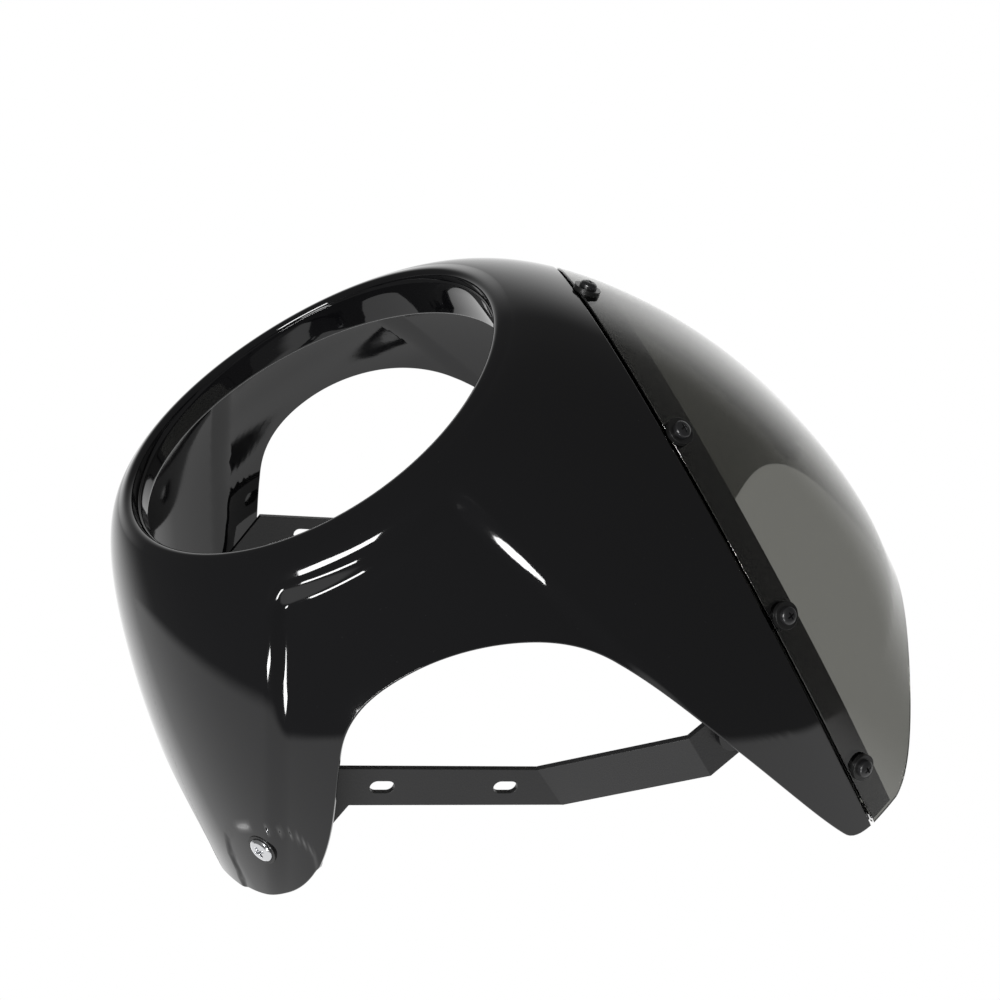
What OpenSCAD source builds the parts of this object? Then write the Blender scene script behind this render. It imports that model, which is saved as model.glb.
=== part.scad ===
// Headlight cowl: a moulded shell around a round lamp opening, with a smoked screen on top.
// Frame: +Z up, -Y forward, +X to the left side of the vehicle. Millimetres.
// The origin is the centre of the lamp opening, in the mean plane of its front rim.

/* [Lamp opening] */
// Radius of the lamp bore
bore_r = 90; // [80:0.5:98]
// Thickness of the short tube behind the rim
tube_wall = 3; // [2:0.5:5]
// Depth of the tube at its middle height
tube_depth = 17; // [14:1:24]
// How much deeper the tube is at the top than at the bottom, per mm of height
tube_slope = 0.078; // [0:0.01:0.1]
// Radius where the skin leaves the rim
rim_r = 97; // [95:0.5:100]
// How far the rim waves forward at the top and bottom and back at the sides
rim_wave = 2.2; // [0:0.1:3]

/* [Skin] */
// Half width of the flared body
body_half_w = 149; // [140:1:158]
// Height of the crown above the lamp centre
crown_h = 200; // [190:1:210]
// Depth of the chin below the lamp centre
chin_h = 162; // [152:1:170]
// Squareness of the upper half's section
upper_power = 2.8; // [2.4:0.1:3.2]
// Squareness of the lower half's section
lower_power = 2.75; // [2.4:0.1:3.2]
// Fullness of the flare from the rim to its full width
flare_power = 1.55; // [1.4:0.05:1.8]
// Thickness of the moulded wall
wall = 3; // [2.5:0.5:4]
// Depth of the scoop beside each fork gap
scoop_depth = 5; // [0:0.5:8]

/* [Screen] */
// Height of the joint between shell and screen at the front
joint_h = 128; // [124:1:132]
// Fall of the joint per mm towards the back
joint_fall = 0.02; // [0:0.005:0.04]
// Width of the dark gap along the joint
joint_gap = 1.4; // [0.8:0.1:2.5]
// Thickness of the screen
screen_t = 2.7; // [2:0.1:3.5]
// Height of the rebated flange above the joint
flange_h = 14.5; // [12:0.5:18]
// Depth of the screen's back edge at the crown
crown_y = 207; // [195:1:215]
// Depth of the screen's back edge at its two tips
tip_y = 265; // [255:1:268]

/* [Screws] */
// Radius of the black screw heads on the screen
head_r = 4; // [3.5:0.1:4.5]
// Radius of the thick washers under those heads
washer_r = 6.2; // [5:0.1:7]
// Thickness of those washers
washer_t = 2.4; // [1:0.1:3]
// Radius of the bright bracket screw heads
bright_head_r = 5.9; // [5:0.1:6.5]
// Radius of the screw shanks on the screen
shank_r = 2; // [1.5:0.1:2.5]
// Radius of the bracket screw shanks
bracket_shank_r = 3; // [2:0.1:3.5]

/* [Brackets] */
// Thickness of the bracket plate
plate_t = 2.5; // [2:0.25:3]
// Width of the slotted strip
strip_w = 19.4; // [16:0.2:22]
// Distance of the slotted strip from the middle plane
strip_x = 109; // [106:0.5:111]
// Distance between the two slots
slot_pitch = 56; // [50:1:60]
// Length of each slot, end to end
slot_l = 11; // [9:0.5:14]
// Width of each slot
slot_w = 6.4; // [5:0.2:8]

/* [Hidden] */

round_fn = 48;
// Grid of the skin: steps around the lamp axis and rows from the rim to the tips
around = 72;
rows = 15;
row_power = 1.75;
skin_depth = 275;

// Depth at which the flare is full, as a mean and harmonics of the clock angle
flare_depth = [189, -19, 27, 5, -24];

// Edges of the scoop: its start behind the rim, its lower crease and its upper line
scoop_y = 7;
crease_angle = 113;
crease_slope = 0.2;
scoop_line_z = 42;
scoop_line_slope = 0.27;

// Tongue-shaped pad around each bright screw
pad_at = [103, 128];
pad_r = 20;
pad_depth = 0.9;

// Screw places on the skin as clock angle and depth, from the front screw back
screw_spots = [[0, 22.5], [31.3, 58], [42.3, 140], [45, 231]];
bright_spot = [138, 121.6];
stay_spot = [57.5, 166.5];

// Seats of the hardware below the outer skin
flange_in = screen_t + wall;
screen_seat = 0.12;
bright_seat = 1.2;
boss_top = 6.2;
stay_boss_top = 5.7;
boss_r = 9;
ring_t = 1.4;
nut_r = 4;
nut_t = 3.2;
thin_t = 1;

// Side view of the shell's back edge as cubic curves, from the upper tip to the lower tip
tip_curve = [[264.5, 126], [264.5, 117], [262, 112], [257, 110]];
lobe_curve = [[257, 110], [225, 98], [150, 84], [104, 61.5]];
arch_curve = [[104, 61.5], [76, 49], [60, 18], [60.3, -11]];
low_curve = [[60.3, -11], [60.6, -36], [70, -49], [84, -58.5]];
leg_curve = [[84, -58.5], [110, -78], [152, -98], [151.6, -141]];
chin_arch = [151, 64];

// Bracket in side view: middle of the two slots, slope of the strip and the corner at its foot
slot_mid = [136.9, -31.9];
strip_angle = 51.4;
strip_foot = -47;
fold_z = 6.5;
stay_fold_z = 71;
tab_reach = 12;

// Smooth step from 0 to 1
function ease(t) = let (c = min(1, max(0, t))) c * c * (3 - 2 * c);

// Section of the full body at a clock angle a, 0 at the top
function body_r(a) =
    let (h = cos(a) >= 0 ? crown_h : chin_h, p = cos(a) >= 0 ? upper_power : lower_power)
    pow(pow(abs(sin(a)) / body_half_w, p) + pow(abs(cos(a)) / h, p), -1 / p);

function flare_y(a) = flare_depth[0] + flare_depth[1] * cos(a) + flare_depth[2] * cos(2 * a)
    + flare_depth[3] * cos(3 * a) + flare_depth[4] * cos(4 * a);

function rim_y(a) = -rim_wave * cos(2 * a);

// Growth of the flare from 0 at the rim to 1 at its full width
function growth(a, y) = let (q = min(1, max(0, 1 - y / flare_y(a))))
    pow(1 - pow(q, flare_power), 1 / flare_power);

function bell_r(a, y) = rim_r + (body_r(a) - rim_r) * growth(a, y);

// Clock angle folded onto the left side
function fold_angle(a) = let (b = abs(a) % 360) b > 180 ? 360 - b : b;

function scoop(a, y, r) = let (b = fold_angle(a))
    scoop_depth * ease((y - scoop_y) / 14) * ease((crease_angle + crease_slope * y - b) / 5)
    * ease((scoop_line_z + scoop_line_slope * y - r * cos(a)) / 9) * (1 - 0.6 * ease((y - 35) / 40))
    * (1 - ease((y - 120) / 50));

function pad(a, y, r) = let (b = fold_angle(a), x = r * sin(b), d = norm([x - pad_at[0],
    min(0, y - pad_at[1])]))
    cos(b) < -0.4 ? pad_depth * ease((pad_r - d) / 2) : 0;

function skin_r(a, y) = let (r = bell_r(a, y)) r - scoop(a, y, r) - pad(a, y, r);

function skin_point(a, y) = let (r = skin_r(a, y)) [r * sin(a), y + rim_y(a) * (1 - ease(y / 60)), r * cos(a)];

function unit(v) = v / norm(v);

function skin_normal(a, y) = let (da = 0.6, dy = min(0.6, y / 2))
    unit(cross(skin_point(a + da, y) - skin_point(a - da, y), skin_point(a, y + dy) - skin_point(a, y - dy)));

// Point at a depth below the outer skin
function inset_point(a, y, depth) = skin_point(a, y) - depth * skin_normal(a, y);

function row_y(i) = 0.6 + (skin_depth - 0.6) * pow(i / rows, row_power);

function skin_ring(y, depth) = [for (j = [0 : around - 1]) inset_point(360 * j / around, y, depth)];

function bezier(c, n) = [for (i = [0 : n - 1]) let (t = i / n, s = 1 - t)
    s * s * s * c[0] + 3 * s * s * t * c[1] + 3 * s * t * t * c[2] + t * t * t * c[3]];

// Closed tube of rings, each ring a list of the same number of points
module ring_tube(rings) {
    n = len(rings[0]);
    m = len(rings);
    points = [for (r = rings) each r];
    faces = [for (i = [0 : m - 1], j = [0 : n - 1])
        let (a = i * n + j, b = i * n + (j + 1) % n, k = ((i + 1) % m) * n)
        each [[a, k + (j + 1) % n, b], [a, k + j, k + (j + 1) % n]]];
    polyhedron(points, faces, convexity = 8);
}

// Layer of the skin between two depths below its outer face
module skin_layer(top, bottom) {
    ring_tube(concat([for (i = [0 : rows]) skin_ring(row_y(i), top)],
        [for (i = [rows : -1 : 0]) skin_ring(row_y(i), bottom)]));
}

// Shell layer with the rounded rim bead at its front
module rimmed_layer() {
    bead = [[bore_r + 1.5, 6], [bore_r + 1.5, 0.6], [bore_r + 2.6, -0.9], [bore_r + 4.2, -1.3],
        [bore_r + 5.8, -0.8], [bore_r + 6.8, 0.3]];
    ring_tube(concat(
        [for (p = bead) [for (j = [0 : around - 1]) let (a = 360 * j / around)
            [p[0] * sin(a), p[1] + rim_y(a), p[0] * cos(a)]]],
        [for (i = [0 : rows]) skin_ring(row_y(i), 0)],
        [for (i = [rows : -1 : 0]) skin_ring(row_y(i), wall)]));
}

// Half space above the joint, moved up by a height
module above_joint(up) {
    rotate([-atan(joint_fall), 0, 0]) translate([-200, -60, joint_h + up]) cube([400, 400, 120]);
}

// Shape drawn in side view as [depth, height], run across the whole width
module across(half = 200) {
    translate([half, 0, 0]) rotate([90, 0, -90]) mirror([1, 0, 0]) linear_extrude(2 * half) children();
}

// What lies behind the shell's back edge in side view
module behind_edge() {
    edge = concat(bezier(tip_curve, 4), bezier(lobe_curve, 8), bezier(arch_curve, 10), bezier(low_curve, 6),
        bezier(leg_curve, 10), [[151.6, -141]]);
    across() polygon(concat([[320, 126]], edge, [[151.6, -220], [320, -220]]));
    across() polygon([[264.5, 120], [320, 120], [320, 220], [264.5, 220]]);
}

module chin_gap() {
    translate([0, chin_arch[0], -220]) cylinder(r = chin_arch[1], h = 140, $fn = 64);
}

// Frame with its origin at a depth below the skin and +Z along the skin's normal
module on_skin(spot, depth, side = 1) {
    p = inset_point(side * spot[0], spot[1], depth);
    n = skin_normal(side * spot[0], spot[1]);
    translate(p) rotate([0, acos(n[2]), atan2(n[1], n[0])]) children();
}

module at_screen_screws(depth) {
    for (i = [0 : len(screw_spots) - 1], side = [1, -1])
        if (i > 0 || side > 0) on_skin(screw_spots[i], depth, side) children();
}

// Seat plane of a stay: the skin's normal without its fore-and-aft part
function stay_normal() = let (n = skin_normal(stay_spot[0], stay_spot[1])) unit([n[0], 0, n[2]]);
function stay_point(depth) = skin_point(stay_spot[0], stay_spot[1]) - depth * stay_normal();

module at_stay(depth, side = 1) {
    mirror([side > 0 ? 0 : 1, 0, 0]) translate(stay_point(depth))
        rotate([0, acos(stay_normal()[2]), 0]) children();
}

module lamp_tube() {
    difference() {
        translate([0, 2.5, 0]) rotate([-90, 0, 0]) cylinder(r = bore_r + tube_wall, h = 30, $fn = 96);
        translate([0, 2, 0]) rotate([-90, 0, 0]) cylinder(r = bore_r, h = 40, $fn = 96);
        translate([0, tube_depth, 0]) rotate([-atan(tube_slope), 0, 0]) translate([-120, 0, -120])
            cube([240, 60, 240]);
    }
}

module cowl_shell() {
    color([0.02, 0.02, 0.022]) difference() {
        union() {
            difference() {
                rimmed_layer();
                above_joint(0);
            }
            intersection() {
                skin_layer(screen_t + screen_seat, flange_in);
                difference() {
                    above_joint(-5);
                    above_joint(flange_h);
                }
            }
            lamp_tube();
            for (side = [1, -1]) {
                on_skin(bright_spot, boss_top, side) cylinder(r = boss_r, h = boss_top - wall / 2, $fn = round_fn);
                at_stay(stay_boss_top, side) cylinder(r = boss_r, h = stay_boss_top - wall / 2, $fn = round_fn);
            }
        }
        behind_edge();
        chin_gap();
        at_screen_screws(flange_in - 0.3) translate([0, 0, -8]) cylinder(r = washer_r - 1, h = 8, $fn = round_fn);
        at_screen_screws(flange_in + 5) cylinder(r = shank_r + 0.25, h = 12, $fn = round_fn);
        for (side = [1, -1]) {
            on_skin(bright_spot, bright_seat, side) cylinder(r = bright_head_r + 1.8, h = 6, $fn = round_fn);
            on_skin(bright_spot, boss_top + 5, side) cylinder(r = bracket_shank_r + 0.3, h = 12, $fn = round_fn);
            on_skin(bright_spot, boss_top + 8, side) cylinder(r = boss_r + 1, h = 8, $fn = round_fn);
            at_stay(stay_boss_top + 5, side) cylinder(r = 4, h = 8.8, $fn = round_fn);
        }
    }
}

// Back edge of the screen in side view: far back at the tips, forward at the crown
function trail_y(z) = crown_y + (tip_y - crown_y) * (1 + cos(180 * min(1, max(0, (z - 136) / 64)))) / 2;

module windscreen() {
    color([0.16, 0.16, 0.15, 0.6]) difference() {
        intersection() {
            skin_layer(0, screen_t);
            above_joint(joint_gap);
        }
        across() polygon(concat([for (i = [0 : 18]) let (z = 110 + 5 * i) [trail_y(z), z]],
            [[320, 206], [320, 110]]));
        at_screen_screws(0.3) cylinder(r = washer_r + 0.4, h = 6, $fn = round_fn);
        at_screen_screws(8) cylinder(r = shank_r + 0.25, h = 12, $fn = round_fn);
    }
}

// Cross recess in a screw head, its floor at z = 0
module cross_recess(size, depth) {
    for (turn = [0, 90]) rotate(turn) translate([-size / 2, -size / 9, 0]) cube([size, size / 4.5, depth]);
}

// Pan head screw with its seat at z = 0 and its shank below
module pan_screw(r, h, shank, length) {
    edge = h * 0.45;
    difference() {
        rotate_extrude($fn = round_fn) polygon(concat([[0, -length], [shank - 0.4, -length],
            [shank, -length + 0.4], [shank, 0], [r, 0], [r, edge]],
            [for (t = [15 : 15 : 90]) [r * 0.25 + r * 0.75 * cos(t), edge + (h - edge) * sin(t)]], [[0, h]]));
        translate([0, 0, h - 1.6]) cross_recess(r * 0.95, 3);
    }
}

module flat_ring(outer, inner, t) {
    difference() {
        cylinder(r = outer, h = t, $fn = round_fn);
        translate([0, 0, -1]) cylinder(r = inner, h = t + 2, $fn = round_fn);
    }
}

module hex_nut(r, bore, t) {
    difference() {
        cylinder(r = r, h = t, $fn = 6);
        translate([0, 0, -1]) cylinder(r = bore, h = t + 2, $fn = round_fn);
    }
}

module screen_screws() {
    color([0.05, 0.05, 0.05]) at_screen_screws(0.3 - washer_t) pan_screw(head_r, 2.8, shank_r, 14);
}

module screen_washers() {
    color([0.03, 0.03, 0.03]) at_screen_screws(0.3) flat_ring(washer_r, shank_r + 0.2, washer_t);
}

module screen_backing_washers() {
    color([0.7, 0.7, 0.72]) at_screen_screws(flange_in - 0.3 + thin_t) flat_ring(washer_r - 1.5,
        shank_r + 0.2, thin_t);
}

module screen_nuts() {
    color([0.7, 0.7, 0.72]) at_screen_screws(flange_in - 0.3 + thin_t + nut_t) hex_nut(nut_r, shank_r, nut_t);
}

// Point of the bracket's foot tab, in the middle of its thickness, under the bright screw
function foot_normal() = skin_normal(bright_spot[0], bright_spot[1]);
function foot_hole() = inset_point(bright_spot[0], bright_spot[1], boss_top + plate_t / 2);
function strip_dir() = [cos(strip_angle), sin(strip_angle)];
function foot_corner() = slot_mid + strip_foot * strip_dir();
// The tab's plane meets the strip's plane in the foot fold
function foot_fold_dir() = unit(cross([1, 0, 0], foot_normal()));
function foot_up() = let (n = foot_normal()) unit([0, 0, 1] - n[2] * n);
function foot_fold_mid() = foot_hole() + foot_up() * (strip_x - foot_hole()[0]) / foot_up()[0];

// Reach of each plate past the foot fold, which nearly closes the fold's outer corner
function foot_lap() = let (c = foot_normal()[0]) 0.8 * plate_t / 2 * sqrt((1 - c) / (1 + c));

// Plate of the bracket in a plane through p, with its first axis along u and its normal along n
module plate_at(p, u, n) {
    v = cross(n, u);
    multmatrix([[u[0], v[0], n[0], p[0]], [u[1], v[1], n[1], p[1]], [u[2], v[2], n[2], p[2]], [0, 0, 0, 1]])
        children();
}

// Corner offsets that carry a bent sheet's faces round each fold of the path p
function mitre(p, i) = let (a = unit(i > 0 ? p[i] - p[i - 1] : p[1] - p[0]),
    b = i < len(p) - 1 ? unit(p[i + 1] - p[i]) : a, na = [-a[1], a[0]], nb = [-b[1], b[0]])
    (na + nb) / (1 + na * nb);

// Section of a bent sheet of thickness t along the path p
module bent_sheet(p, t) {
    polygon(concat([for (i = [0 : len(p) - 1]) p[i] + t / 2 * mitre(p, i)],
        [for (i = [len(p) - 1 : -1 : 0]) p[i] - t / 2 * mitre(p, i)]));
}

// Where the strip meets the arm's fold, and half the fold's length
function strip_top() = slot_mid + (fold_z - slot_mid[1]) / sin(strip_angle) * strip_dir();
function fold_half() = strip_w / 2 / sin(strip_angle);

// Side view of the bracket as [depth, height]: leg down to the foot fold, strip, arm and upper tab
module bracket_outline() {
    foot = [foot_fold_mid()[1], foot_fold_mid()[2]];
    fold = foot_fold_dir();
    path = [foot + 20 * unit(foot - foot_corner()), foot_corner(), strip_top()];
    left = [for (i = [0, 1]) path[i] + strip_w / 2 * mitre(path, i)];
    right = [for (i = [1, 0]) path[i] - strip_w / 2 * mitre(path, i)];
    arm = [for (c = [[-1, 0], [-1, 120], [1, 120], [1, 0]]) strip_top() + [c[0] * fold_half(), c[1]]];
    difference() {
        polygon(concat(left, arm, right));
        translate(foot) rotate(atan2(fold[2], fold[1])) translate([-60, -60 - foot_lap()]) square([120, 60]);
        for (s = [-0.5, 0.5]) translate(slot_mid + s * slot_pitch * strip_dir()) rotate(strip_angle) {
            square([slot_l - slot_w, slot_w], center = true);
            for (e = [-0.5, 0.5]) translate([e * (slot_l - slot_w), 0]) circle(d = slot_w, $fn = round_fn);
        }
    }
}

module bracket() {
    seat = stay_point(stay_boss_top + plate_t / 2);
    n = stay_normal();
    fold_x = seat[0] + (seat[2] - stay_fold_z) * n[2] / n[0];
    tab_end = [seat[0], seat[2]] + tab_reach * [-n[2], n[0]];
    leg = [foot_fold_mid()[1], foot_fold_mid()[2]] - foot_corner();
    foot_skew = abs(cross(unit(leg), [foot_fold_dir()[1], foot_fold_dir()[2]]));
    foot_half = strip_w / 2 / foot_skew;
    fu = foot_fold_dir();
    fv = cross(foot_normal(), fu);
    to_hole = foot_hole() - foot_fold_mid();
    hole = [to_hole * fu, to_hole * fv];
    way = hole[1] > 0 ? 1 : -1;
    color([0.07, 0.07, 0.075]) difference() {
        union() {
            // Sheet folded in front view, cut to its side view
            intersection() {
                translate([0, 220, 0]) rotate([90, 0, 0]) linear_extrude(180)
                    bent_sheet([[strip_x, -140], [strip_x, fold_z], [fold_x, stay_fold_z], tab_end], plate_t);
                translate([80, 0, 0]) rotate([90, 0, 90]) linear_extrude(100) bracket_outline();
            }
            // Foot tab under the bright screw
            plate_at(foot_fold_mid(), fu, foot_normal()) linear_extrude(plate_t, center = true)
                polygon(concat([[foot_half, -way * foot_lap()], [-foot_half, -way * foot_lap()]],
                    [for (i = [0 : 12]) hole + (strip_w / 2 - 0.4) * [-cos(15 * i), way * sin(15 * i)]]));
        }
        on_skin(bright_spot, boss_top + 8) cylinder(r = bracket_shank_r + 0.3, h = 12, $fn = round_fn);
        at_stay(stay_boss_top + 8) cylinder(r = shank_r + 0.8, h = 12, $fn = round_fn);
    }
}

module bracket_left() { bracket(); }

module bracket_right() { mirror([1, 0, 0]) bracket(); }

module at_feet(depth) {
    for (side = [1, -1]) mirror([side > 0 ? 0 : 1, 0, 0]) on_skin(bright_spot, depth) children();
}

module at_stays(depth) {
    for (side = [1, -1]) at_stay(depth, side) children();
}

module bracket_screw_rings() {
    color([0.03, 0.03, 0.03]) at_feet(bright_seat) difference() {
        flat_ring(bright_head_r + 1.6, bracket_shank_r + 0.2, ring_t);
        translate([0, 0, 0.5]) cylinder(r = bright_head_r + 0.2, h = 3, $fn = round_fn);
    }
}

module bracket_screws() {
    color([0.85, 0.86, 0.88]) at_feet(bright_seat - 0.5) pan_screw(bright_head_r, 2.6, bracket_shank_r, 15);
}

module bracket_washers() {
    color([0.7, 0.7, 0.72]) at_feet(boss_top + plate_t + 1.2) flat_ring(6, bracket_shank_r + 0.2, 1.2);
}

module bracket_nuts() {
    color([0.7, 0.7, 0.72]) at_feet(boss_top + plate_t + 1.2 + 4.5) hex_nut(5.6, bracket_shank_r, 4.5);
}

module stay_inserts() {
    color([0.72, 0.56, 0.25]) at_stays(stay_boss_top) flat_ring(4, shank_r + 0.5, 3.8);
}

module stay_washers() {
    color([0.7, 0.7, 0.72]) at_stays(stay_boss_top + plate_t + thin_t) flat_ring(5.5, shank_r + 0.7, thin_t);
}

module stay_screws() {
    color([0.7, 0.7, 0.72]) at_stays(stay_boss_top + plate_t + thin_t) mirror([0, 0, 1])
        pan_screw(4.6, 3, shank_r + 0.5, 7);
}

cowl_shell();
windscreen();
screen_screws();
screen_washers();
screen_backing_washers();
screen_nuts();
bracket_left();
bracket_right();
bracket_screws();
bracket_screw_rings();
bracket_washers();
bracket_nuts();
stay_inserts();
stay_screws();
stay_washers();
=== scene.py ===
"""Looks of the headlight cowl: a glossy moulded shell, a smoked screen, brackets and their fasteners."""

import logging
import math
from dataclasses import dataclass
from enum import Enum
from typing import Callable, Optional, Sequence

import bpy
import numpy as np
from mathutils import Matrix

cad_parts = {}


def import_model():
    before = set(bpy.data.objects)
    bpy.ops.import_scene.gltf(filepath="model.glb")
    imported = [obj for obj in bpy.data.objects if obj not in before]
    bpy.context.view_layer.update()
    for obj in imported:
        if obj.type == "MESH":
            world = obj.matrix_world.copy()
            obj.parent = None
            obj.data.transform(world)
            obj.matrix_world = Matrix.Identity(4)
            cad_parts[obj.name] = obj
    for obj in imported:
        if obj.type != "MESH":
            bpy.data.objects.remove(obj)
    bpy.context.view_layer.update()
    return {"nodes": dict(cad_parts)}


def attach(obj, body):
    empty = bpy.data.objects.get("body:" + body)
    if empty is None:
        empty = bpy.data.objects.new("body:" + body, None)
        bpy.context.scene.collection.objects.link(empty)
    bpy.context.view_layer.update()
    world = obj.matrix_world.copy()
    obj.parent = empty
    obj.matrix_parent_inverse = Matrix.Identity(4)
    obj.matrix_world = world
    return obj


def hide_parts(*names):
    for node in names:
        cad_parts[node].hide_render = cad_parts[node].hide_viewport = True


LOG = logging.getLogger("headlight_cowl")
MM = 0.001
MIRROR = np.array([-1, 1, 1])
SIDES = (("left", 1), ("right", -1))

Array = np.ndarray
Test = Callable[[Array, Array], Array]


def ease(t: Array) -> Array:
    """Smooth step from 0 to 1.

    Args:
        t: Values to ease, from any range.

    Returns:
        Values from 0 to 1 with level ends.
    """
    c = np.clip(t, 0.0, 1.0)
    return c * c * (3 - 2 * c)


def unit(v: Array) -> Array:
    """Vectors of length one along the last axis."""
    v = np.asarray(v, float)
    return v / np.linalg.norm(v, axis=-1, keepdims=True)


def bezier(points: Sequence[Sequence[float]], count: int) -> Array:
    """Points on a cubic curve, its last point left out.

    Args:
        points: Four control points.
        count: Number of points wanted.

    Returns:
        Array of shape (count, 2).
    """
    c = np.asarray(points, float)
    t = np.arange(count)[:, None] / count
    s = 1 - t
    return s**3 * c[0] + 3 * s * s * t * c[1] + 3 * s * t * t * c[2] + t**3 * c[3]


@dataclass(frozen=True)
class Skin:
    """Outer surface of the moulded body in millimetres, over clock angle a in radians and depth y."""

    half_w: float = 149.0
    crown_h: float = 200.0
    chin_h: float = 162.0
    upper_power: float = 2.8
    lower_power: float = 2.75
    flare_power: float = 1.55
    rim_r: float = 97.0
    rim_wave: float = 2.2
    wall: float = 3.0
    scoop_depth: float = 5.0
    scoop_y: float = 7.0
    crease_angle: float = 113.0
    crease_slope: float = 0.2
    scoop_line_z: float = 42.0
    scoop_line_slope: float = 0.27
    pad_x: float = 103.0
    pad_y: float = 128.0
    pad_r: float = 20.0
    pad_depth: float = 0.9
    flare_mean: float = 189.0
    flare_waves: tuple[float, ...] = (-19.0, 27.0, 5.0, -24.0)
    wave_fade: float = 60.0
    scoop_start: float = 14.0
    crease_width: float = 5.0
    scoop_line_width: float = 9.0
    scoop_ease: tuple[float, float, float] = (0.6, 35.0, 40.0)
    scoop_end: tuple[float, float] = (120.0, 50.0)
    pad_from_cos: float = -0.4
    pad_step: float = 2.0

    def body_r(self, a: Array) -> Array:
        """Radius of the full body at a clock angle."""
        top = np.cos(a) >= 0
        h = np.where(top, self.crown_h, self.chin_h)
        p = np.where(top, self.upper_power, self.lower_power)
        return ((np.abs(np.sin(a)) / self.half_w) ** p + (np.abs(np.cos(a)) / h) ** p) ** (-1 / p)

    def flare_y(self, a: Array) -> Array:
        """Depth at which the flare is full."""
        return self.flare_mean + sum(w * np.cos((k + 1) * a) for k, w in enumerate(self.flare_waves))

    def rim_y(self, a: Array) -> Array:
        """Wave of the rim: forward at top and bottom, back at the sides."""
        return -self.rim_wave * np.cos(2 * a)

    def radius(self, a: Array, y: Array) -> Array:
        """Distance of the skin from the lamp axis, with the scoops and the tongue pads taken off."""
        q = np.clip(1 - y / self.flare_y(a), 0, 1)
        growth = (1 - q**self.flare_power) ** (1 / self.flare_power)
        r = self.rim_r + (self.body_r(a) - self.rim_r) * growth
        b = np.degrees(np.arccos(np.clip(np.cos(a), -1, 1)))
        share, eased_y, eased_length = self.scoop_ease
        end_y, end_length = self.scoop_end
        line_z = self.scoop_line_z + self.scoop_line_slope * y
        scoop = (self.scoop_depth * ease((y - self.scoop_y) / self.scoop_start)
                 * ease((self.crease_angle + self.crease_slope * y - b) / self.crease_width)
                 * ease((line_z - r * np.cos(a)) / self.scoop_line_width)
                 * (1 - share * ease((y - eased_y) / eased_length)) * (1 - ease((y - end_y) / end_length)))
        far = np.hypot(r * np.abs(np.sin(a)) - self.pad_x, np.minimum(0, y - self.pad_y))
        pad = self.pad_depth * ease((self.pad_r - far) / self.pad_step)
        pad = np.where(np.cos(a) < self.pad_from_cos, pad, 0)
        return r - scoop - pad

    def point(self, a: Array, y: Array) -> Array:
        """Point of the outer skin.

        Args:
            a: Clock angles.
            y: Depths behind the rim.

        Returns:
            Array with x, y, z on its last axis.
        """
        r = self.radius(a, y)
        depth = y + self.rim_y(a) * (1 - ease(y / self.wave_fade))
        return np.stack([r * np.sin(a), depth, r * np.cos(a)], -1)

    def slopes(self, a: Array, y: Array) -> tuple[Array, Array]:
        """Changes of the skin point per radian of clock angle and per millimetre of depth."""
        da = 0.004
        dy = np.minimum(0.3, y / 2)
        by_a = (self.point(a + da, y) - self.point(a - da, y)) / (2 * da)
        by_y = (self.point(a, y + dy) - self.point(a, y - dy)) / (2 * dy)[..., None]
        return by_a, by_y

    def normal(self, a: Array, y: Array) -> Array:
        """Outward unit normal of the skin."""
        by_a, by_y = self.slopes(a, y)
        return unit(np.cross(by_a, by_y))

    def inset(self, a: Array, y: Array, depth: Array) -> Array:
        """Point at a depth below the outer skin."""
        return self.point(a, y) - np.asarray(depth)[..., None] * self.normal(a, y)

    def angle_at(self, y: Array, z: Array) -> Array:
        """Clock angle on the left side where the skin stands at height z.

        Args:
            y: Depths.
            z: Heights there.

        Returns:
            Clock angles in radians.
        """
        y = np.asarray(y, float)
        low, high = np.full_like(y, 1e-6), np.full_like(y, math.pi - 1e-6)
        for _ in range(46):
            mid = (low + high) / 2
            above = self.radius(mid, y) * np.cos(mid) > z
            low, high = np.where(above, mid, low), np.where(above, high, mid)
        return (low + high) / 2

    def depth_where(self, a: Array, reached: Test, start: float, end: float) -> Array:
        """Depth on each meridian at which a condition starts to hold.

        Args:
            a: Clock angles.
            reached: Test of (y, z) that is false near the rim and true further back.
            start: Smallest depth tried.
            end: Largest depth tried.

        Returns:
            Depths, or end where the condition is never reached.
        """
        low, high = np.full_like(a, start), np.full_like(a, end)
        for _ in range(40):
            mid = (low + high) / 2
            hit = reached(mid, self.radius(a, mid) * np.cos(a))
            low, high = np.where(hit, low, mid), np.where(hit, mid, high)
        return (low + high) / 2

    def inward(self, a: Array, y: Array, closed_ends: bool = True) -> Array:
        """Steps of (a, y) that move one millimetre along the skin away from an edge, towards the rim.

        Args:
            a: Clock angles of the edge's points, in order.
            y: Depths of the edge's points.
            closed_ends: Whether the edge crosses the middle plane squarely at both ends.

        Returns:
            Array of shape (n, 2).
        """
        p = self.point(a, y)
        tangent = np.gradient(p, axis=0)
        if closed_ends:
            tangent[0], tangent[-1] = [1, 0, 0], [-1, 0, 0]
        by_a, by_y = self.slopes(a, y)
        side = unit(np.cross(unit(np.cross(by_a, by_y)), unit(tangent)))
        side = np.where((side * by_y).sum(-1, keepdims=True) > 0, -side, side)
        width = 3
        padded = np.concatenate([side[:1]] * width + [side] + [side[-1:]] * width)
        kernel = np.ones(2 * width + 1) / (2 * width + 1)
        side = unit(np.stack([np.convolve(padded[:, k], kernel, "valid") for k in range(3)], -1))
        aa, ay, yy = (by_a * by_a).sum(-1), (by_a * by_y).sum(-1), (by_y * by_y).sum(-1)
        sa, sy = (side * by_a).sum(-1), (side * by_y).sum(-1)
        det = aa * yy - ay * ay
        return np.stack([(yy * sa - ay * sy) / det, (aa * sy - ay * sa) / det], -1)


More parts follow.
